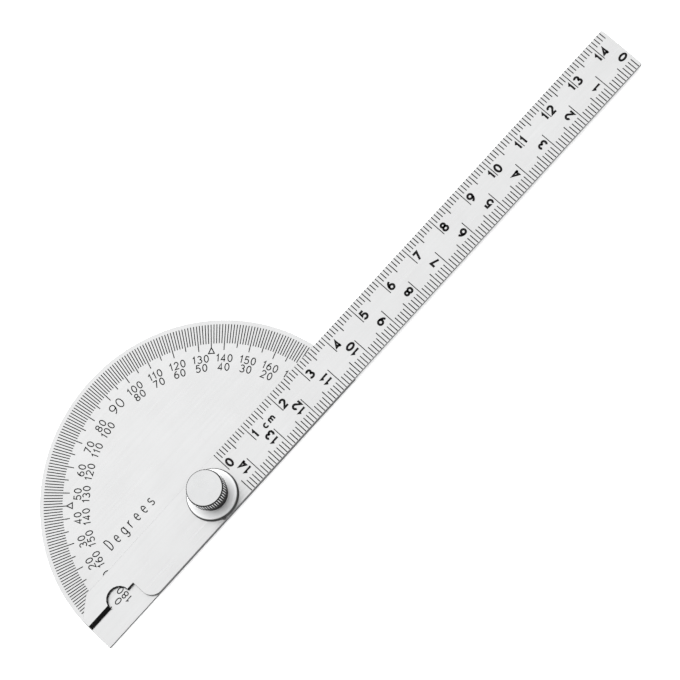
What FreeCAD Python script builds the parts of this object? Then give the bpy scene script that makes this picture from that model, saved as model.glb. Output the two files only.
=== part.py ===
import FreeCAD, Part
import math
import os

# A small steel protractor: a half-round plate with a degree scale, and a ruler arm that swings
# on it about a pivot screw. A knurled nut, a cup washer and a wave washer clamp the arm.
#
# Units are millimetres. The origin is on the pivot axis, in the plate's back face.
# +X runs along the ruler to its free end, +Y points to the top of the arc, +Z to the front.

os.makedirs("parts", exist_ok=True)

# Driving dimensions
HEAD_RADIUS = 45.4          # radius of the half-round plate
ARM_WIDTH = 14.0            # width of the ruler arm
SHEET = 0.6                 # thickness of both steel sheets
SHEET_GAP = 0.1             # play between the plate and the arm
EDGE_BREAK = 0.08           # small chamfer on the sheets' cut edges
PASS = 1.0                  # cutting tools run this far past the solids they cut

# The ruler arm
ARM_END_X = 152.5           # free end of the ruler
ARM_CORNER = 0.5            # corner radius at the free end
TAIL_END_X = -45.2          # outer end of the pointer tail
TAIL_SHOULDER_X = -39.8     # where the tail's upper edge starts to slope
TAIL_END_Y = 2.9            # height of the tail's blunt end
TAIL_SHOULDER_RADIUS = 2.0
TAIL_TIP_RADIUS = 0.8
STEP_X = -29.6              # the lower half of the arm ends here
STEP_RADIUS = 3.4
READING_EDGE_Y = -0.25      # the tail's lower edge; its black line lies across the pivot's height
NOTCH_X = -34.95            # centre of the reading notch, on the reading edge
NOTCH_RADIUS = 3.15
BEVEL_WIDTH = 0.8           # bevel along the reading edge
BEVEL_DEPTH = 0.4

# The pivot screw
HEAD_FACE_RADIUS = 3.85     # screw head, flush with the plate's back
HEAD_DEPTH = 0.35
HEAD_PLAY = 0.05
COLLAR_RADIUS = 3.0         # staked collar in the plate
COLLAR_PRESS = 0.01
SHOULDER_RADIUS = 2.5       # the arm turns on this
SHOULDER_PLAY = 0.04
SHOULDER_DROP = 0.08        # the shoulder ends this far below the arm's front face
THREAD_RADIUS = 1.95        # M4 thread, drawn plain
THREAD_PLAY = 0.05
RELIEF_RADIUS = 1.6
RELIEF_LENGTH = 0.7
SCREW_TOP = 7.8
SCREW_CHAMFER = 0.4

# The wave washer, pressed nearly flat
SPRING_GAP = 0.04           # air under the lowest point of the waves
SPRING_BORE = 2.7
SPRING_RADIUS = 5.6
SPRING_SHEET = 0.25
SPRING_WAVE = 0.08          # amplitude of the waves
SPRING_WAVES = 3
SPRING_POINTS = 48

# The cup washer
CUP_GAP = 0.08              # air between the arm and the cup's rim
CUP_RADIUS = 6.8
CUP_SHEET = 0.6
CUP_HEIGHT = 1.08
CUP_CORNER = 0.9
CUP_BORE_PLAY = 0.08
LUG_ANGLE = 250.0           # degrees from +X
LUG_CENTRE = 6.4            # distance of the lug from the pivot axis
LUG_RADIUS = 0.75
LUG_HEIGHT = 0.72
LUG_ROUND = 0.35
PIP_CENTRE = 6.65
PIP_RADIUS = 0.3
PIP_DEPTH = 0.6
PIP_PLAY = 0.06

# The knurled nut
NUT_TOP = 9.7
KNURL_BOTTOM = 5.2
KNURL_RADIUS = 4.9
KNURL_DEPTH = 0.28
KNURL_COUNT = 48
BAND_RADIUS = 4.35          # plain band under the knurl
NUT_TOP_CHAMFER = 0.35
NUT_FOOT_CHAMFER = 0.2
NUT_BORE_TOP = 8.6          # tip of the drill point
NUT_BORE_POINT = 1.0        # height of the drill point
NUT_BORE_MOUTH = 0.4
RUN_GAP = 0.06              # air left between stacked pieces that move

# Heights that follow from the stack
HALF_WIDTH = ARM_WIDTH / 2
ARM_BACK = SHEET + SHEET_GAP
ARM_FRONT = ARM_BACK + SHEET
CUP_FOOT = ARM_FRONT + CUP_GAP
CUP_TOP = CUP_FOOT + CUP_HEIGHT
NUT_FOOT = CUP_TOP + RUN_GAP
SPRING_FOOT = ARM_FRONT + SPRING_GAP
TOUCH = 1e-6                # heights closer than this are the same
UP = FreeCAD.Vector(0, 0, 1)
ORIGIN = FreeCAD.Vector(0, 0, 0)


def point(x, y, z=0.0):
    return FreeCAD.Vector(x, y, z)


def line(start, end):
    return Part.makeLine(start, end)


def arc(start, middle, end):
    return Part.Arc(start, middle, end).toShape()


def disc(radius, bottom, top, x=0.0, y=0.0):
    return Part.makeCylinder(radius, top - bottom, point(x, y, bottom), UP)


def extrude(edges, bottom, top):
    """Solid between two heights with the outline given by edges at height zero."""
    face = Part.Face(Part.Wire(edges))
    face.translate(point(0, 0, bottom))
    return face.extrude(point(0, 0, top - bottom))


def turn(edges):
    """Solid turned about the Z axis from a closed outline in the XZ plane."""
    face = Part.Face(Part.Wire(edges))
    return face.revolve(ORIGIN, UP, 360)


def turned_profile(corners):
    """Solid turned about the Z axis from (radius, height) corners."""
    points = [point(radius, 0, height) for radius, height in corners]
    edges = [line(a, b) for a, b in zip(points, points[1:] + points[:1])]
    return turn(edges)


def break_edges(solid, height):
    """Chamfer every edge that lies wholly in the plane at this height."""
    flat = []
    for edge in solid.Edges:
        box = edge.BoundBox
        if math.isclose(box.ZMin, height, abs_tol=TOUCH) and math.isclose(box.ZMax, height, abs_tol=TOUCH):
            flat.append(edge)
    return solid.makeChamfer(EDGE_BREAK, flat)


def protractor_plate():
    """Half-round sheet with a straight strip below the pivot line and a countersunk pivot hole."""
    lower_left = point(-HEAD_RADIUS, -HALF_WIDTH)
    upper_left = point(-HEAD_RADIUS, 0)
    upper_right = point(HEAD_RADIUS, 0)
    lower_right = point(HEAD_RADIUS, -HALF_WIDTH)
    outline = [
        line(lower_left, upper_left),
        arc(upper_left, point(0, HEAD_RADIUS), upper_right),
        line(upper_right, lower_right),
        line(lower_right, lower_left),
    ]
    plate = extrude(outline, 0, SHEET)
    plate = break_edges(break_edges(plate, SHEET), 0)
    hole = disc(COLLAR_RADIUS, -PASS, SHEET + PASS)
    sink_slope = (HEAD_FACE_RADIUS - COLLAR_RADIUS) / HEAD_DEPTH
    sink_radius = HEAD_FACE_RADIUS + HEAD_PLAY
    sink_depth = (sink_radius - COLLAR_RADIUS) / sink_slope
    sink = Part.makeCone(sink_radius, COLLAR_RADIUS, sink_depth)
    return plate.cut(hole.fuse(sink))


def rounded_corner(before, corner, after, radius):
    """Tangent arc at a corner between two straight edges: its start, middle and end points."""
    back = (before - corner).normalize()
    ahead = (after - corner).normalize()
    half_angle = back.getAngle(ahead) / 2
    reach = radius / math.tan(half_angle)
    bisector = (back + ahead).normalize()
    centre = corner + bisector * (radius / math.sin(half_angle))
    return corner + back * reach, centre - bisector * radius, corner + ahead * reach


def arm_outline():
    """Edges of the arm, anticlockwise from the inner end of the reading edge."""
    step_top = point(STEP_X, READING_EDGE_Y)
    step_corner = point(STEP_X, -HALF_WIDTH)
    end_low = point(ARM_END_X, -HALF_WIDTH)
    end_high = point(ARM_END_X, HALF_WIDTH)
    shoulder = point(TAIL_SHOULDER_X, HALF_WIDTH)
    tail_high = point(TAIL_END_X, TAIL_END_Y)
    tail_low = point(TAIL_END_X, READING_EDGE_Y)
    notch_left = point(NOTCH_X - NOTCH_RADIUS, READING_EDGE_Y)
    notch_right = point(NOTCH_X + NOTCH_RADIUS, READING_EDGE_Y)

    step = rounded_corner(step_top, step_corner, end_low, STEP_RADIUS)
    low = rounded_corner(step_corner, end_low, end_high, ARM_CORNER)
    high = rounded_corner(end_low, end_high, shoulder, ARM_CORNER)
    bend = rounded_corner(end_high, shoulder, tail_high, TAIL_SHOULDER_RADIUS)
    tip = rounded_corner(shoulder, tail_high, tail_low, TAIL_TIP_RADIUS)
    return [
        line(step_top, step[0]), arc(*step),
        line(step[2], low[0]), arc(*low),
        line(low[2], high[0]), arc(*high),
        line(high[2], bend[0]), arc(*bend),
        line(bend[2], tip[0]), arc(*tip),
        line(tip[2], tail_low),
        line(tail_low, notch_left),
        arc(notch_left, point(NOTCH_X, READING_EDGE_Y + NOTCH_RADIUS), notch_right),
        line(notch_right, step_top),
    ]


def reading_bevel():
    """Wedge that thins the outer stretch of the reading edge."""
    start = TAIL_END_X - PASS
    length = NOTCH_X - NOTCH_RADIUS + EDGE_BREAK - start
    low = ARM_FRONT - BEVEL_DEPTH
    corners = [
        point(start, READING_EDGE_Y, low),
        point(start, READING_EDGE_Y + BEVEL_WIDTH, ARM_FRONT),
        point(start, READING_EDGE_Y + BEVEL_WIDTH, ARM_FRONT + PASS),
        point(start, -PASS, ARM_FRONT + PASS),
        point(start, -PASS, low),
    ]
    section = Part.Face(Part.makePolygon(corners + corners[:1]))
    return section.extrude(point(length, 0, 0))


def lug_spot(distance):
    angle = math.radians(LUG_ANGLE)
    return distance * math.cos(angle), distance * math.sin(angle)


def ruler_arm():
    """Steel strip: ruler to one side of the pivot, pointer tail with a notch to the other."""
    arm = extrude(arm_outline(), ARM_BACK, ARM_FRONT)
    arm = break_edges(break_edges(arm, ARM_FRONT), ARM_BACK)
    pip_x, pip_y = lug_spot(PIP_CENTRE)
    low = ARM_BACK - PASS
    high = ARM_FRONT + PASS
    pivot_hole = disc(SHOULDER_RADIUS + SHOULDER_PLAY, low, high)
    pip_hole = disc(PIP_RADIUS + PIP_PLAY, low, high, pip_x, pip_y)
    return arm.cut([reading_bevel(), pivot_hole, pip_hole])


def pivot_screw():
    """Stud with a thin conical head, a staked collar, the pivot shoulder and a threaded end."""
    collar = COLLAR_RADIUS + COLLAR_PRESS
    shoulder_top = ARM_FRONT - SHOULDER_DROP
    relief_top = shoulder_top + RELIEF_LENGTH
    return turned_profile([
        (0, 0),
        (HEAD_FACE_RADIUS, 0),
        (collar, HEAD_DEPTH),
        (collar, SHEET),
        (SHOULDER_RADIUS, SHEET),
        (SHOULDER_RADIUS, shoulder_top),
        (RELIEF_RADIUS, shoulder_top),
        (RELIEF_RADIUS, relief_top),
        (THREAD_RADIUS, relief_top + THREAD_RADIUS - RELIEF_RADIUS),
        (THREAD_RADIUS, SCREW_TOP - SCREW_CHAMFER),
        (THREAD_RADIUS - SCREW_CHAMFER, SCREW_TOP),
        (0, SCREW_TOP),
    ])


def wave_ring(radius, base):
    """Closed curve that rises and falls as it goes round."""
    points = []
    for step in range(SPRING_POINTS):
        angle = 2 * math.pi * step / SPRING_POINTS
        height = base + SPRING_WAVE * (1 + math.cos(SPRING_WAVES * angle))
        points.append(point(radius * math.cos(angle), radius * math.sin(angle), height))
    curve = Part.BSplineCurve()
    curve.interpolate(Points=points, PeriodicFlag=True)
    return curve.toShape()


def spring_washer():
    """Wave washer between the arm and the hollow side of the cup washer."""
    inner_low = wave_ring(SPRING_BORE, SPRING_FOOT)
    outer_low = wave_ring(SPRING_RADIUS, SPRING_FOOT)
    inner_high = wave_ring(SPRING_BORE, SPRING_FOOT + SPRING_SHEET)
    outer_high = wave_ring(SPRING_RADIUS, SPRING_FOOT + SPRING_SHEET)
    faces = [
        Part.makeRuledSurface(inner_low, outer_low),
        Part.makeRuledSurface(inner_high, outer_high),
        Part.makeRuledSurface(inner_low, inner_high),
        Part.makeRuledSurface(outer_low, outer_high),
    ]
    shell = Part.Shell(faces)
    shell.sewShape()
    solid = Part.Solid(shell)
    if solid.Volume < 0:
        solid.reverse()
    return solid


def cup_washer():
    """Dished ring with a rounded rim, and a lug with a pip that drops into the arm."""
    bore = THREAD_RADIUS + CUP_BORE_PLAY
    inner = CUP_RADIUS - CUP_SHEET
    ceiling = CUP_TOP - CUP_SHEET
    inner_corner = CUP_CORNER - CUP_SHEET
    diagonal = 1 - math.sqrt(0.5)
    outer_arc = (
        point(CUP_RADIUS, 0, CUP_TOP - CUP_CORNER),
        point(CUP_RADIUS - CUP_CORNER * diagonal, 0, CUP_TOP - CUP_CORNER * diagonal),
        point(CUP_RADIUS - CUP_CORNER, 0, CUP_TOP),
    )
    inner_arc = (
        point(inner - inner_corner, 0, ceiling),
        point(inner - inner_corner * diagonal, 0, ceiling - inner_corner * diagonal),
        point(inner, 0, ceiling - inner_corner),
    )
    foot_inner = point(inner, 0, CUP_FOOT)
    foot_outer = point(CUP_RADIUS, 0, CUP_FOOT)
    bore_low = point(bore, 0, ceiling)
    bore_high = point(bore, 0, CUP_TOP)
    cup = turn([
        line(foot_inner, foot_outer),
        line(foot_outer, outer_arc[0]),
        arc(*outer_arc),
        line(outer_arc[2], bore_high),
        line(bore_high, bore_low),
        line(bore_low, inner_arc[0]),
        arc(*inner_arc),
        line(inner_arc[2], foot_inner),
    ])

    lug_x, lug_y = lug_spot(LUG_CENTRE)
    lug = disc(LUG_RADIUS, CUP_FOOT, CUP_FOOT + LUG_HEIGHT, lug_x, lug_y)
    top_edge = [edge for edge in lug.Edges if edge.BoundBox.ZMin > CUP_FOOT + LUG_HEIGHT / 2]
    lug = lug.makeFillet(LUG_ROUND, top_edge)
    lug = lug.cut(disc(inner, CUP_FOOT - PASS, CUP_TOP))
    pip_x, pip_y = lug_spot(PIP_CENTRE)
    pip = disc(PIP_RADIUS, CUP_FOOT - PIP_DEPTH, CUP_FOOT + PIP_RADIUS, pip_x, pip_y)
    return cup.fuse([lug, pip]).removeSplitter()


def knurl_outline():
    """Closed outline of V-shaped ridges, one tip and one root per ridge."""
    corners = []
    for index in range(2 * KNURL_COUNT):
        angle = math.pi * index / KNURL_COUNT
        radius = KNURL_RADIUS - KNURL_DEPTH * (index % 2)
        corners.append(point(radius * math.cos(angle), radius * math.sin(angle)))
    return [line(a, b) for a, b in zip(corners, corners[1:] + corners[:1])]


def thumb_nut():
    """Knurled nut with a closed flat top, a plain band at its foot and a blind threaded bore."""
    knurl = extrude(knurl_outline(), KNURL_BOTTOM, NUT_TOP)
    root_radius = KNURL_RADIUS - KNURL_DEPTH
    envelope = turned_profile([
        (0, KNURL_BOTTOM),
        (root_radius, KNURL_BOTTOM),
        (KNURL_RADIUS, KNURL_BOTTOM + KNURL_DEPTH),
        (KNURL_RADIUS, NUT_TOP - NUT_TOP_CHAMFER),
        (KNURL_RADIUS - NUT_TOP_CHAMFER, NUT_TOP),
        (0, NUT_TOP),
    ])
    grip = knurl.common(envelope)
    band = turned_profile([
        (0, NUT_FOOT),
        (BAND_RADIUS - NUT_FOOT_CHAMFER, NUT_FOOT),
        (BAND_RADIUS, NUT_FOOT + NUT_FOOT_CHAMFER),
        (BAND_RADIUS, KNURL_BOTTOM - (root_radius - BAND_RADIUS)),
        (root_radius, KNURL_BOTTOM),
        (0, KNURL_BOTTOM),
    ])
    bore = THREAD_RADIUS + THREAD_PLAY
    blind_bore = turned_profile([
        (0, NUT_FOOT - PASS),
        (bore + NUT_BORE_MOUTH, NUT_FOOT - PASS),
        (bore + NUT_BORE_MOUTH, NUT_FOOT),
        (bore, NUT_FOOT + NUT_BORE_MOUTH),
        (bore, NUT_BORE_TOP - NUT_BORE_POINT),
        (0, NUT_BORE_TOP),
    ])
    return grip.fuse(band).cut(blind_bore)


PIECES = {
    "protractor_plate": protractor_plate,
    "ruler_arm": ruler_arm,
    "pivot_screw": pivot_screw,
    "spring_washer": spring_washer,
    "cup_washer": cup_washer,
    "thumb_nut": thumb_nut,
}

for name, make in PIECES.items():
    piece = make()
    box = piece.BoundBox
    print(name, "valid" if piece.isValid() else "INVALID", "volume", round(piece.Volume, 2),
          "solids", len(piece.Solids), "Z", round(box.ZMin, 3), round(box.ZMax, 3))
    piece.exportStep("parts/" + name + ".step")
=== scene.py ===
import math

import bpy
from mathutils import Matrix, Vector


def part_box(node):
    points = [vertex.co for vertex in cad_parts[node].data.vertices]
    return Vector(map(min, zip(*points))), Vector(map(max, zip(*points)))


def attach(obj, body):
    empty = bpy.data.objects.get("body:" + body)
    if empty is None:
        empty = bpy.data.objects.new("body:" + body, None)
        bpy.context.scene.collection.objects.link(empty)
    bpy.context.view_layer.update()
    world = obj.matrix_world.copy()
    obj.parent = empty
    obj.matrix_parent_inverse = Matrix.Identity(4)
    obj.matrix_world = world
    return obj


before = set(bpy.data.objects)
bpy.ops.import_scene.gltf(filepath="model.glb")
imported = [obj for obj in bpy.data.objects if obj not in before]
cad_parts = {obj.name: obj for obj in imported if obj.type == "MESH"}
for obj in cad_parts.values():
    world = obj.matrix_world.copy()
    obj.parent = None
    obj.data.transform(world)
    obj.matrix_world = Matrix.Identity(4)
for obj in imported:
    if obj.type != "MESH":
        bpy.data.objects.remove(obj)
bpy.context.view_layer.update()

# Driving dimensions, in metres, read from the frame
MM = 0.001
_, plate_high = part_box("protractor_plate")
arm_low, arm_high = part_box("ruler_arm")
_, cup_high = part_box("cup_washer")
HALF_WIDTH = arm_high.y
PLATE_FACE = plate_high.z
ARM_FACE = arm_high.z
ARM_BACK = arm_low.z
RULER_END = arm_high.x
SCALE_MILLIMETRES = 145
CENTIMETRE_NUMBERS = 15
RULER_ZERO = RULER_END - SCALE_MILLIMETRES * MM
TAIL_END = arm_low.x

# The reading edge of the arm's tail, as the CAD cuts it
READING_EDGE_Y = -0.25 * MM
EDGE_LINE_WIDTH = 0.2 * MM
# EDGE_LINE_DEPTH is the thickness of the black sheet laid on the edge's walls as painted shade
EDGE_LINE_DEPTH = 0.02 * MM
NOTCH_X = -34.95 * MM
NOTCH_RADIUS = 3.15 * MM
STEP_X = -29.6 * MM
BEVEL_WIDTH = 0.8 * MM
BEVEL_DEPTH = 0.4 * MM

# Ink stands this far above the steel, and starts this far below its face
INK_PROUD = 0.012 * MM
INK_SUNK = 0.03 * MM

# The nut's knurl is painted from black grooves, a painted shade, to bright ridges, a painted highlight,
# between these radii; the ridges' painted highlight grows between these heights
KNURL_ROOT = 4.78 * MM
KNURL_TIP = 4.86 * MM
KNURL_LOW = 6.2 * MM
KNURL_BRIGHT = 7.9 * MM

# The painted shade line around the nut's top fades in between these radii
NUT_RIM_INNER = KNURL_ROOT - 0.3 * MM
NUT_RIM_OUTER = KNURL_ROOT - 0.2 * MM

# The painted shade line around a washer starts and ends this far inside its rim
RIM_LINE_START = 0.4 * MM
RIM_LINE_END = 0.25 * MM

# The degree scale
TICK_OUTER = 44.35 * MM
DEGREE_TICK_INNER = {1: 39.35 * MM, 5: 38.3 * MM, 10: 37.6 * MM}
DEGREE_TICK_WIDTH = 0.25 * MM
OUTER_ROW_RADIUS = 35.5 * MM
INNER_ROW_RADIUS = 33.2 * MM
DEGREE_TEXT_HEIGHT = 2.1 * MM
RIGHT_ANGLE_TEXT_HEIGHT = 2.8 * MM
DEGREE_STROKE = 0.28 * MM
DEGREE_DIGIT_SHAPE = 0.64
DEGREE_DIGIT_GAP = 0.19
RIGHT_ANGLE_TEXT_RADIUS = OUTER_ROW_RADIUS - 0.2 * MM
NUMBER_LEAN = math.degrees(0.25 * MM / OUTER_ROW_RADIUS)
TRIANGLE_TIP = 38.3 * MM
TRIANGLE_HEIGHT = 1.5 * MM
TRIANGLE_WIDTH = 1.6 * MM

# The legend on the plate
LEGEND = "Degrees"
LEGEND_CENTRE_X = -19.3 * MM
LEGEND_BASE_Y = 10.0 * MM
LEGEND_HEIGHT = 3.3 * MM
LEGEND_STROKE = 0.28 * MM
LEGEND_SHAPE = 0.4
LEGEND_GAP = 0.38

# The ruler scales
UPPER_TICK = {1: 2.2 * MM, 5: 3.25 * MM, 10: 5.65 * MM}
LOWER_TICK = {1: 2.85 * MM, 5: 3.85 * MM, 10: 6.75 * MM}
EDGE_MARGIN = 0.12 * MM
RULER_TICK_WIDTH = 0.26 * MM
RULER_LONG_TICK_WIDTH = 0.23 * MM
RULER_TEXT_HEIGHT = 2.7 * MM
RULER_STROKE = 0.6 * MM
DIGIT_SHAPE = 0.7
DIGIT_GAP = 0.16
UPPER_TEXT_BASE = 1.2 * MM
TEXT_AFTER_TICK = 0.42 * MM
TEXT_BEFORE_TICK = 0.35 * MM
LOWER_TEXT_START = -3.0 * MM
LOWER_TEXT_BASE = 0.48 * MM
UNIT_AFTER_TICK = 3.6 * MM
UNIT_HEIGHT = 2.2 * MM
UNIT_STROKE = 0.46 * MM

# The camera: lens and sensor in millimetres, then its distance and direction from the aim point
CAMERA_LENS = 201.2
CAMERA_SENSOR = 36.0
CAMERA_DISTANCE = 0.9545
CAMERA_AZIMUTH = math.radians(-96.05)
CAMERA_ELEVATION = math.radians(70.57)
CAMERA_ROLL = math.radians(-41.9)
CAMERA_AIM = Vector((50.2 * MM, 3.0 * MM, PLATE_FACE))

# The sky is dimmest from this far towards -Y, and brightest at +Y
SKY_DIM = 0.5
SKY_BRIGHT = 3.6
SKY_DIM_SIDE = 0.36

# The floor's own light, its half side and how far it lies below the tool
FLOOR_GLOW = 0.4
FLOOR_HALF_SIDE = 3.0
FLOOR_DROP = 0.05 * MM

# Specular level of black filling and of the knurl's painted sides
DULL_SPECULAR = 0.08

# Stroke lettering: degrees to one step of an arc, sharpest mitre, and when two points are one
ARC_STEP = 18
MITRE_LIMIT = 0.45
SAME_POINT = 1e-9


# ---------------------------------------------------------------- stroke lettering

def bend(centre_x, centre_y, radius_x, radius_y, start, end):
    """Points along an elliptical arc. Angles are in degrees, anticlockwise from +X."""
    steps = max(3, round(abs(end - start) / ARC_STEP))
    angles = [math.radians(start + (end - start) * step / steps) for step in range(steps + 1)]
    return [(centre_x + radius_x * math.cos(a), centre_y + radius_y * math.sin(a)) for a in angles]


def loop(centre_x, centre_y, radius_x, radius_y):
    """A closed ellipse, as a stroke that ends where it starts."""
    return bend(centre_x, centre_y, radius_x, radius_y, 90, 450)


def turned_over(strokes):
    """The same strokes turned by half a turn in the unit square."""
    return [[(1 - x, 1 - y) for x, y in stroke] for stroke in strokes]


SIX = [loop(0.5, 0.3, 0.5, 0.3), bend(0.88, 0.3, 0.88, 0.7, 180, 97)]

# Each sign is a list of strokes in the unit square: its width by the capital height
SIGNS = {
    "0": [loop(0.5, 0.5, 0.5, 0.5)],
    "1": [[(0.0, 0.76), (0.75, 1.0), (0.75, 0.0)]],
    "2": [bend(0.5, 0.71, 0.48, 0.29, 170, -35) + [(0.0, 0.0), (1.0, 0.0)]],
    "3": [bend(0.46, 0.75, 0.44, 0.25, 155, -90), bend(0.46, 0.26, 0.54, 0.26, 90, -155)],
    "4": [[(0.74, 0.0), (0.74, 1.0), (0.0, 0.27), (1.0, 0.27)]],
    "5": [[(0.92, 1.0), (0.18, 1.0), (0.1, 0.55)] + bend(0.47, 0.32, 0.53, 0.32, 130, -150)],
    "6": SIX,
    "7": [[(0.0, 1.0), (1.0, 1.0), (0.35, 0.0)]],
    "8": [loop(0.5, 0.76, 0.42, 0.24), loop(0.5, 0.27, 0.5, 0.27)],
    "9": turned_over(SIX),
    "D": [[(0.4, 1.0), (0.0, 1.0), (0.0, 0.0), (0.4, 0.0)], bend(0.4, 0.5, 0.6, 0.5, 90, -90)],
    "e": [[(0.0, 0.35), (1.0, 0.35)] + bend(0.5, 0.33, 0.5, 0.33, 0, 310)],
    "g": [loop(0.5, 0.33, 0.5, 0.33), [(1.0, 0.66), (1.0, -0.1)] + bend(0.5, -0.1, 0.5, 0.22, 0, -150)],
    "r": [[(0.0, 0.0), (0.0, 0.66)], bend(0.8, 0.3, 0.8, 0.36, 180, 80)],
    "s": [bend(0.5, 0.5, 0.45, 0.16, 35, 270) + bend(0.5, 0.17, 0.5, 0.17, 90, -145)],
    "c": [bend(0.5, 0.33, 0.5, 0.33, 50, 310)],
    "m": [
        [(0.0, 0.0), (0.0, 0.66)],
        bend(0.25, 0.4, 0.25, 0.26, 180, 0) + [(0.5, 0.0)],
        bend(0.75, 0.4, 0.25, 0.26, 180, 0) + [(1.0, 0.0)],
    ],
}
SIGN_WIDTHS = {"1": 0.62, "r": 0.75, "m": 1.25}


def sign_width(sign, width):
    return width * SIGN_WIDTHS.get(sign, 1.0)


def text_width(text, width, gap):
    return sum(sign_width(sign, width) for sign in text) + gap * (len(text) - 1)


def text_strokes(text, height, width, gap, pen):
    """Strokes of a line of text that starts at the origin and stands on the X axis.
    The pen's own thickness stays inside each sign's width and height."""
    strokes = []
    start = 0.0
    for sign in text:
        wide = sign_width(sign, width)
        for stroke in SIGNS[sign]:
            strokes.append([
                (start + pen / 2 + x * (wide - pen), pen / 2 + y * (height - pen)) for x, y in stroke
            ])
        start += wide + gap
    return strokes


def placed(strokes, x, y, angle):
    """Strokes turned by an angle about the origin, then moved."""
    c = math.cos(angle)
    s = math.sin(angle)
    return [[(x + c * u - s * v, y + s * u + c * v) for u, v in stroke] for stroke in strokes]


def ribbon_sides(points, width):
    """Left and right borders of a ribbon along the points, mitred where it bends."""
    closed = (Vector(points[0]) - Vector(points[-1])).length < SAME_POINT
    line = [Vector(p) for p in (points[:-1] if closed else points)]
    count = len(line)
    left = []
    right = []
    for index, here in enumerate(line):
        before = line[index - 1] if index or closed else None
        after = line[(index + 1) % count] if index < count - 1 or closed else None
        ways = []
        if before is not None:
            ways.append((here - before).normalized())
        if after is not None:
            ways.append((after - here).normalized())
        along = sum(ways, Vector((0, 0))).normalized()
        mitre = max(along.dot(ways[0]), MITRE_LIMIT)
        side = Vector((-along.y, along.x)) * (width / 2 / mitre)
        left.append(here + side)
        right.append(here - side)
    if closed:
        left.append(left[0])
        right.append(right[0])
    return left, right, closed


def new_mesh(name, vertices, faces):
    mesh = bpy.data.meshes.new(name)
    mesh.from_pydata(vertices, [], faces)
    mesh.validate()
    mesh.update()
    return mesh


def ink_mesh(name, ribbons, face_height):
    """One mesh of thin slabs, one for each (points, width) ribbon, lying on a steel face."""
    vertices = []
    faces = []
    low = face_height - INK_SUNK
    high = face_height + INK_PROUD
    for points, width in ribbons:
        left, right, closed = ribbon_sides(points, width)
        first = len(vertices)
        count = len(left) - 1 if closed else len(left)
        for index in range(count):
            for side, height in ((left, high), (right, high), (right, low), (left, low)):
                vertices.append((side[index].x, side[index].y, height))
        for index in range(len(left) - 1):
            here = first + 4 * index
            there = first + 4 * ((index + 1) % count)
            for corner in range(4):
                following = (corner + 1) % 4
                faces.append((here + corner, here + following, there + following, there + corner))
        if not closed:
            last = first + 4 * (count - 1)
            faces.append((first, first + 3, first + 2, first + 1))
            faces.append((last, last + 1, last + 2, last + 3))
    return new_mesh(name, vertices, faces)


def add_piece(name, mesh, material, body):
    piece = bpy.data.objects.new(name, mesh)
    bpy.context.scene.collection.objects.link(piece)
    mesh.materials.append(material)
    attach(piece, body)
    return piece


# ---------------------------------------------------------------- markings on the plate

def on_dial(radius, reading):
    """Point on the plate at a radius and a reading in degrees. 0 lies on -X, 90 on +Y."""
    angle = math.radians(180 - reading)
    return radius * math.cos(angle), radius * math.sin(angle)


def tick_kind(count):
    """10, 5 or 1: the longest kind of tick that falls on this count."""
    return 10 if count % 10 == 0 else 5 if count % 5 == 0 else 1


def degree_ticks():
    ribbons = []
    for reading in range(181):
        inner = DEGREE_TICK_INNER[tick_kind(reading)]
        ribbons.append(([on_dial(TICK_OUTER, reading), on_dial(inner, reading)], DEGREE_TICK_WIDTH))
    return ribbons


def dial_text(text, radius, reading, height):
    """Number centred on a radius and a reading, with its head pointing outward."""
    width = DEGREE_DIGIT_SHAPE * height
    gap = DEGREE_DIGIT_GAP * height
    strokes = text_strokes(text, height, width, gap, DEGREE_STROKE)
    length = text_width(text, width, gap)
    centred = placed(strokes, -length / 2, -height / 2, 0)
    x, y = on_dial(radius, reading)
    turn = math.radians(90 - reading)
    return [(stroke, DEGREE_STROKE) for stroke in placed(centred, x, y, turn)]


def degree_numbers():
    ribbons = dial_text("90", RIGHT_ANGLE_TEXT_RADIUS, 90, RIGHT_ANGLE_TEXT_HEIGHT)
    for reading in range(0, 181, 10):
        if reading != 90:
            leaning = reading + math.copysign(NUMBER_LEAN, reading - 90)
            ribbons += dial_text(str(reading), OUTER_ROW_RADIUS, leaning, DEGREE_TEXT_HEIGHT)
            ribbons += dial_text(str(180 - reading), INNER_ROW_RADIUS, leaning, DEGREE_TEXT_HEIGHT)
    return ribbons


def half_right_triangles():
    """Small open triangles at the inner ends of the 45 and 135 degree ticks."""
    ribbons = []
    for reading in (45, 135):
        half_angle = math.degrees(TRIANGLE_WIDTH / 2 / TRIANGLE_TIP)
        tip = on_dial(TRIANGLE_TIP, reading)
        base = TRIANGLE_TIP - TRIANGLE_HEIGHT
        first = on_dial(base, reading - half_angle)
        second = on_dial(base, reading + half_angle)
        ribbons.append(([tip, first, second, tip], DEGREE_STROKE))
    return ribbons


def legend():
    width = LEGEND_SHAPE * LEGEND_HEIGHT
    gap = LEGEND_GAP * LEGEND_HEIGHT
    strokes = text_strokes(LEGEND, LEGEND_HEIGHT, width, gap, LEGEND_STROKE)
    start = LEGEND_CENTRE_X - text_width(LEGEND, width, gap) / 2
    return [(stroke, LEGEND_STROKE) for stroke in placed(strokes, start, LEGEND_BASE_Y, 0)]


# ---------------------------------------------------------------- markings on the arm

def ruler_tick(x, edge_y, length, kind):
    width = RULER_LONG_TICK_WIDTH if kind == 10 else RULER_TICK_WIDTH
    return [(x, edge_y), (x, edge_y + length)], width


def upper_ticks():
    """Millimetre ticks down from the arm's upper edge, with their zero beside the pivot."""
    edge = HALF_WIDTH - EDGE_MARGIN
    return [
        ruler_tick(RULER_ZERO + count * MM, edge, -UPPER_TICK[tick_kind(count)], tick_kind(count))
        for count in range(SCALE_MILLIMETRES)
    ]


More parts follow.
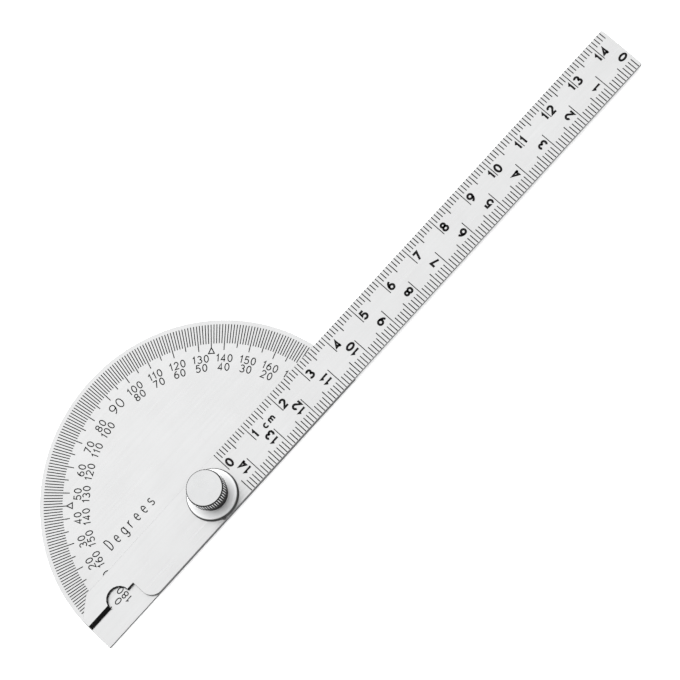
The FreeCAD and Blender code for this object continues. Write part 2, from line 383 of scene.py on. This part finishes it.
def lower_ticks():
    """Millimetre ticks up from the arm's lower edge, with their zero at the free end."""
    edge = -HALF_WIDTH + EDGE_MARGIN
    return [
        ruler_tick(RULER_END - count * MM, edge, LOWER_TICK[tick_kind(count)], tick_kind(count))
        for count in range(1, SCALE_MILLIMETRES + 1)
    ]


def bold_text(text, x, y, angle, height=RULER_TEXT_HEIGHT, pen=RULER_STROKE):
    width = DIGIT_SHAPE * height
    gap = DIGIT_GAP * height
    strokes = text_strokes(text, height, width, gap, pen)
    return [(stroke, pen) for stroke in placed(strokes, x, y, angle)]


def upper_numbers():
    """Centimetres along the upper scale. A long tick runs between the two digits from 10 on."""
    width = DIGIT_SHAPE * RULER_TEXT_HEIGHT
    ribbons = []
    for number in range(CENTIMETRE_NUMBERS):
        tick = RULER_ZERO + number * 10 * MM
        last = str(number)[-1]
        ribbons += bold_text(last, tick + TEXT_AFTER_TICK, UPPER_TEXT_BASE, 0)
        if number > 9:
            start = tick - TEXT_BEFORE_TICK - sign_width("1", width)
            ribbons += bold_text("1", start, UPPER_TEXT_BASE, 0)
    return ribbons


def lower_numbers():
    """Centimetres from the free end, read from the right-hand side."""
    ribbons = []
    for number in range(CENTIMETRE_NUMBERS):
        tick = RULER_END - number * 10 * MM
        ribbons += bold_text(str(number), tick - LOWER_TEXT_BASE, LOWER_TEXT_START, math.pi / 2)
    return ribbons


def unit_mark():
    x = RULER_ZERO + 10 * MM + UNIT_AFTER_TICK
    return bold_text("cm", x, UPPER_TEXT_BASE, 0, UNIT_HEIGHT, UNIT_STROKE)


def reading_edge_mesh():
    """Black on the reading edge: a thin printed line on the top face, painted reflection over the bevel,
    and painted shade over the walls of the bevel, the notch and the short inner edge.
    """
    notch_start = NOTCH_X - NOTCH_RADIUS
    line = EDGE_LINE_WIDTH
    wall = EDGE_LINE_DEPTH
    end_gap = 0.02 * MM
    overlap = 0.05 * MM
    bevel_foot = 0.1 * MM
    path = [(notch_start - overlap, READING_EDGE_Y)]
    path += bend(NOTCH_X, READING_EDGE_Y, NOTCH_RADIUS, NOTCH_RADIUS, 180, 0)
    path += [(STEP_X - end_gap, READING_EDGE_Y)]
    left, right, _ = ribbon_sides(path, line + wall)
    shift = (line - wall) / 2
    middle = []
    for a, b in zip(left, right):
        across = (a - b).normalized()
        middle.append((a + b) / 2 + across * shift)
    left, right, _ = ribbon_sides([tuple(p) for p in middle], line + wall)
    low = ARM_BACK + 0.01 * MM
    high = ARM_FACE + INK_PROUD
    vertices = []
    faces = []
    for a, b in zip(left, right):
        vertices += [(a.x, a.y, high), (b.x, b.y, high), (b.x, b.y, low), (a.x, a.y, low)]
    for index in range(len(left) - 1):
        here = 4 * index
        for corner in range(4):
            following = (corner + 1) % 4
            faces.append((here + corner, here + following, here + 4 + following, here + 4 + corner))
    last = 4 * (len(left) - 1)
    faces += [(0, 3, 2, 1), (last, last + 1, last + 2, last + 3)]

    bevel = len(vertices)
    section = [
        (-wall, low),
        (-wall, ARM_FACE - BEVEL_DEPTH + INK_PROUD),
        (0.0, ARM_FACE - BEVEL_DEPTH + INK_PROUD),
        (BEVEL_WIDTH, ARM_FACE + INK_PROUD),
        (BEVEL_WIDTH + line, ARM_FACE + INK_PROUD),
        (BEVEL_WIDTH + line, ARM_FACE - INK_SUNK),
        (bevel_foot, low),
    ]
    count = len(section)
    for x in (TAIL_END + end_gap, notch_start):
        vertices += [(x, READING_EDGE_Y + y, z) for y, z in section]
    for corner in range(count):
        following = (corner + 1) % count
        faces.append((bevel + corner, bevel + following,
                      bevel + count + following, bevel + count + corner))
    faces.append(tuple(bevel + corner for corner in reversed(range(count))))
    faces.append(tuple(bevel + count + corner for corner in range(count)))
    return new_mesh("reading_edge_ink_and_painted_shade", vertices, faces)


# ---------------------------------------------------------------- materials

class Shader:
    """A material's node tree with a few short ways to add nodes to it."""

    def __init__(self, name):
        self.material = bpy.data.materials.new(name)
        self.material.use_nodes = True
        self.tree = self.material.node_tree
        self.surface = self.tree.nodes["Principled BSDF"]

    def add(self, kind, **inputs):
        node = self.tree.nodes.new(kind)
        for socket, value in inputs.items():
            self.plug(node.inputs[socket.replace("_", " ")], value)
        return node

    def plug(self, socket, value):
        if isinstance(value, bpy.types.NodeSocket):
            self.tree.links.new(value, socket)
        else:
            socket.default_value = value

    def math(self, operation, a, b=0.0):
        node = self.add("ShaderNodeMath")
        node.operation = operation
        for socket, value in zip(node.inputs, (a, b)):
            self.plug(socket, value)
        return node.outputs[0]

    def place(self, scale=(1, 1, 1)):
        """Object coordinates in metres, stretched by a scale."""
        coordinates = self.add("ShaderNodeTexCoord").outputs["Object"]
        mapping = self.add("ShaderNodeMapping", Vector=coordinates)
        mapping.inputs["Scale"].default_value = scale
        return mapping.outputs[0]

    def noise(self, scale, stretch=(1, 1, 1), detail=3.0, roughness=0.55):
        node = self.add("ShaderNodeTexNoise", Vector=self.place(stretch), Scale=scale,
                        Detail=detail, Roughness=roughness)
        return node.outputs["Fac"]

    def spread(self, value, low, high, start=0.0, end=1.0):
        """Maps start..end of a value onto low..high."""
        node = self.add("ShaderNodeMapRange", Value=value, From_Min=start, From_Max=end,
                        To_Min=low, To_Max=high)
        return node.outputs[0]

    def ramp(self, value, stops):
        """Colour ramp from (position, grey or colour) stops."""
        node = self.add("ShaderNodeValToRGB", Fac=value)
        elements = node.color_ramp.elements
        while len(elements) < len(stops):
            elements.new(0.5)
        for element, (position, colour) in zip(elements, stops):
            element.position = position
            element.color = (*colour, 1.0)
        return node.outputs[0]

    def mix(self, factor, a, b):
        node = self.tree.nodes.new("ShaderNodeMix")
        node.data_type = "RGBA"
        self.plug(node.inputs[0], factor)
        self.plug(node.inputs[6], a)
        self.plug(node.inputs[7], b)
        return node.outputs[2]

    def bump(self, height, strength, distance):
        node = self.add("ShaderNodeBump", Height=height, Strength=strength, Distance=distance)
        return node.outputs[0]

    def height(self):
        """Distance above the plate's back face, in metres."""
        parts = self.add("ShaderNodeSeparateXYZ", Vector=self.place())
        return parts.outputs["Z"]

    def radius(self):
        """Distance from the pivot axis, in metres."""
        node = self.add("ShaderNodeVectorMath")
        node.operation = "MULTIPLY"
        self.plug(node.inputs[0], self.place())
        node.inputs[1].default_value = (1, 1, 0)
        length = self.add("ShaderNodeVectorMath")
        length.operation = "LENGTH"
        self.plug(length.inputs[0], node.outputs[0])
        return length.outputs["Value"]

    def upright(self, steep=0.3, flat=0.9):
        """0 on faces that lie flat, 1 on faces that stand on edge."""
        normal = self.add("ShaderNodeNewGeometry").outputs["Normal"]
        parts = self.add("ShaderNodeSeparateXYZ", Vector=normal)
        flatness = self.math("ABSOLUTE", parts.outputs["Z"])
        return self.spread(flatness, 1.0, 0.0, steep, flat)

    def finish(self, **inputs):
        for socket, value in inputs.items():
            self.plug(self.surface.inputs[socket.replace("_", " ")], value)
        return self.material


def grey(value, warmth=0.0):
    return value * (0.994 + warmth), value, value * (1.006 - warmth)


def satin_sheet(name, tone, edge_shade_tone):
    """Cold-rolled stainless sheet: fine grain along X, faint smudges, and speckled painted shade on the
    walls of its edges.
    """
    shader = Shader(name)
    grain = shader.noise(1500, (0.04, 1, 1), 4.0)
    smudge = shader.noise(70, detail=4.0, roughness=0.6)
    speck = shader.noise(2600, detail=2.0)
    face = shader.ramp(smudge, [(0.3, grey(tone * 0.955, 0.004)), (0.7, grey(tone * 1.03, 0.002))])
    lined = shader.mix(shader.spread(grain, 0.0, 0.05, 0.35, 0.65), face, (*grey(tone * 0.8), 1.0))
    # Walls that stand on edge take a dark speckled tone. This is painted shade, not the steel's own colour.
    edge = shader.upright()
    edge_shade = shader.ramp(speck, [(0.35, grey(edge_shade_tone * 0.7)), (0.7, grey(edge_shade_tone * 1.2))])
    colour = shader.mix(edge, lined, edge_shade)
    rough = shader.math("ADD", shader.spread(grain, 0.26, 0.36, 0.3, 0.7),
                        shader.spread(smudge, -0.03, 0.05, 0.3, 0.7))
    rough = shader.math("ADD", rough, shader.math("MULTIPLY", edge, 0.12))
    relief = shader.math("ADD", grain, shader.math("MULTIPLY", speck, 0.4))
    return shader.finish(Base_Color=colour, Metallic=1.0, Roughness=rough,
                         Normal=shader.bump(relief, 0.04, 0.01 * MM))


def turned_surface(shader, tone, roughness, pitch):
    """Colour, roughness and relief of a face turned about the pivot axis."""
    rings = shader.math("SINE", shader.math("MULTIPLY", shader.radius(), 2 * math.pi / pitch))
    blotch = shader.noise(260, detail=4.0, roughness=0.6)
    fine = shader.noise(2400, detail=3.0)
    colour = shader.ramp(blotch, [(0.3, grey(tone * 0.95)), (0.7, grey(tone * 1.02))])
    rough = shader.spread(blotch, roughness * 0.85, roughness * 1.2, 0.3, 0.7)
    relief = shader.math("ADD", shader.math("MULTIPLY", rings, 0.5), fine)
    return colour, rough, shader.bump(relief, 0.08, 0.006 * MM)


def turned_metal(name, tone, wall_shade_tone, roughness, pitch, rim, metallic=1.0):
    """Turned and plated metal, with painted shade on walls that stand on edge and in a line along its rim.
    """
    shader = Shader(name)
    face, rough, relief = turned_surface(shader, tone, roughness, pitch)
    streak = shader.noise(900, (1, 1, 4))
    wall = shader.ramp(streak, [(0.3, grey(wall_shade_tone * 0.8)), (0.7, grey(wall_shade_tone * 1.2))])
    # Painted shade in a line along the rim and on everything beyond it, such as the lug.
    outside = shader.spread(shader.radius(), 0.0, 1.0, rim - RIM_LINE_START, rim - RIM_LINE_END)
    colour = shader.mix(shader.math("MAXIMUM", shader.upright(0.35, 0.85), outside), face, wall)
    return shader.finish(Base_Color=colour, Metallic=metallic, Roughness=rough, Normal=relief)


def knurled_metal(name, tone, roughness, pitch):
    """Turned top with a painted shade line around it. The knurl's ridges carry a painted highlight that
    grows towards the top, and its grooves are painted black as painted shade.
    """
    shader = Shader(name)
    face, rough, relief = turned_surface(shader, tone, roughness, pitch)
    side = shader.upright(0.72, 0.95)
    # Painted shade line around the top face.
    rim = shader.spread(shader.radius(), 0.0, 1.0, NUT_RIM_INNER, NUT_RIM_OUTER)
    face = shader.mix(rim, face, (*grey(0.06), 1.0))
    ridge = shader.spread(shader.radius(), 0.0, 1.0, KNURL_ROOT, KNURL_TIP)
    painted_highlight_by_height = shader.spread(shader.height(), 0.0, 1.0, KNURL_LOW, KNURL_BRIGHT)
    bright = shader.math("MULTIPLY", ridge, painted_highlight_by_height)
    # Grooves are painted near black as painted shade, and ridges near white as a painted highlight.
    side_colour = shader.mix(bright, (*grey(0.01), 1.0), (*grey(0.97), 1.0))
    colour = shader.mix(side, face, side_colour)
    side_rough = shader.math("ADD", rough, shader.math("MULTIPLY", side, 0.25))
    metallic = shader.math("SUBTRACT", 1.0, side)
    return shader.finish(Base_Color=colour, Metallic=metallic, Roughness=side_rough, Normal=relief,
                         Specular_IOR_Level=DULL_SPECULAR)


def black_ink():
    """Baked black filling, with faint grey wear and pin holes. The same black also serves as painted shade
    and painted reflection on the reading edge's bevel and walls.
    """
    shader = Shader("black_ink")
    wear = shader.noise(2200, detail=4.0, roughness=0.65)
    colour = shader.ramp(wear, [(0.35, grey(0.003)), (0.62, grey(0.006)), (0.8, grey(0.02))])
    rough = shader.spread(wear, 0.38, 0.6, 0.3, 0.7)
    return shader.finish(Base_Color=colour, Roughness=rough, Specular_IOR_Level=DULL_SPECULAR,
                         Normal=shader.bump(wear, 0.2, 0.005 * MM))


def studio_floor():
    shader = Shader("studio_floor")
    cloud = shader.noise(6, detail=3.0)
    colour = shader.ramp(cloud, [(0.3, grey(0.93)), (0.7, grey(0.95))])
    shader.surface.inputs["Emission Color"].default_value = (1.0, 1.0, 1.0, 1.0)
    shader.surface.inputs["Emission Strength"].default_value = FLOOR_GLOW
    return shader.finish(Base_Color=colour, Roughness=shader.spread(cloud, 0.7, 0.85))


def dress_cad_node(node, material):
    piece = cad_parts[node]
    piece.data.materials.clear()
    piece.data.materials.append(material)


# ---------------------------------------------------------------- studio

def add_floor():
    side = FLOOR_HALF_SIDE
    corners = [(x, y, -FLOOR_DROP) for x, y in ((-side, -side), (side, -side), (side, side), (-side, side))]
    mesh = bpy.data.meshes.new("floor")
    mesh.from_pydata(corners, [], [(0, 1, 2, 3)])
    floor = bpy.data.objects.new("floor", mesh)
    bpy.context.scene.collection.objects.link(floor)
    mesh.materials.append(studio_floor())


def add_sky():
    """Soft dome that brightens steadily from the camera's side to the far side of the object."""
    world = bpy.data.worlds.new("studio")
    bpy.context.scene.world = world
    world.use_nodes = True
    tree = world.node_tree
    background = tree.nodes["Background"]
    direction = tree.nodes.new("ShaderNodeTexCoord").outputs["Generated"]
    parts = tree.nodes.new("ShaderNodeSeparateXYZ")
    tree.links.new(direction, parts.inputs[0])
    spread = tree.nodes.new("ShaderNodeMapRange")
    tree.links.new(parts.outputs["Y"], spread.inputs["Value"])
    spread.inputs["From Min"].default_value = -SKY_DIM_SIDE
    spread.inputs["From Max"].default_value = 1.0
    spread.inputs["To Min"].default_value = SKY_DIM
    spread.inputs["To Max"].default_value = SKY_BRIGHT
    tree.links.new(spread.outputs[0], background.inputs["Strength"])
    background.inputs["Color"].default_value = (1.0, 1.0, 1.0, 1.0)


def add_camera():
    """Camera on a sphere about the aim point, rolled so that the ruler runs up to the right."""
    back = Vector((
        math.cos(CAMERA_ELEVATION) * math.cos(CAMERA_AZIMUTH),
        math.cos(CAMERA_ELEVATION) * math.sin(CAMERA_AZIMUTH),
        math.sin(CAMERA_ELEVATION),
    ))
    level = Vector((0, 0, 1)).cross(back).normalized()
    above = back.cross(level)
    right = level * math.cos(CAMERA_ROLL) + above * math.sin(CAMERA_ROLL)
    up = back.cross(right)
    rotation = Matrix((right, up, back)).transposed()
    data = bpy.data.cameras.new("camera")
    data.lens = CAMERA_LENS
    data.sensor_width = CAMERA_SENSOR
    data.clip_start = 0.01
    data.clip_end = 20.0
    camera = bpy.data.objects.new("camera", data)
    camera.matrix_world = Matrix.Translation(CAMERA_AIM + back * CAMERA_DISTANCE) @ rotation.to_4x4()
    bpy.context.scene.collection.objects.link(camera)
    bpy.context.scene.camera = camera


# ---------------------------------------------------------------- build

add_camera()
add_floor()
add_sky()
bpy.context.scene.view_settings.view_transform = "Standard"

washer_rim = cup_high.x
# The edge tones of plate and arm are painted shade on their walls.
dress_cad_node("protractor_plate", satin_sheet("plate_steel", tone=0.41, edge_shade_tone=0.03))
dress_cad_node("ruler_arm", satin_sheet("arm_steel", tone=0.41, edge_shade_tone=0.12))
# The wall tones of screw and washers are painted shade on their upright walls.
dress_cad_node("pivot_screw", turned_metal(
    "screw_steel", tone=0.5, wall_shade_tone=0.35, roughness=0.25, pitch=0.12 * MM, rim=washer_rim))
dress_cad_node("spring_washer", turned_metal(
    "spring_steel", tone=0.4, wall_shade_tone=0.3, roughness=0.3, pitch=0.3 * MM, rim=washer_rim))
# The cup washer's face is painted pale and only partly metallic. This painted sheen keeps it bright where
# steel would mirror the nut's dark side.
dress_cad_node("cup_washer", turned_metal(
    "washer_painted_sheen", tone=0.75, wall_shade_tone=0.03, roughness=0.5, pitch=0.15 * MM, rim=washer_rim,
    metallic=0.3))
dress_cad_node("thumb_nut", knurled_metal("nut_nickel_painted_light", tone=0.39, roughness=0.22, pitch=0.1 * MM))

PLATE_MARKINGS = {
    "degree_ticks": degree_ticks,
    "degree_numbers": degree_numbers,
    "half_right_marks": half_right_triangles,
    "plate_legend": legend,
}
ARM_MARKINGS = {
    "upper_ruler_ticks": upper_ticks,
    "lower_ruler_ticks": lower_ticks,
    "upper_ruler_numbers": upper_numbers,
    "lower_ruler_numbers": lower_numbers,
    "ruler_unit": unit_mark,
}
print_and_shade_black = black_ink()
for body, face_height, markings in (("plate", PLATE_FACE, PLATE_MARKINGS), ("arm", ARM_FACE, ARM_MARKINGS)):
    for name, ribbons in markings.items():
        add_piece(name, ink_mesh(name, ribbons(), face_height), print_and_shade_black, body)
# The reading edge's black is a printed line on the top face, and painted shade and painted reflection on
# its bevel and walls.
add_piece("reading_edge_ink_and_painted_shade", reading_edge_mesh(), print_and_shade_black, "arm")
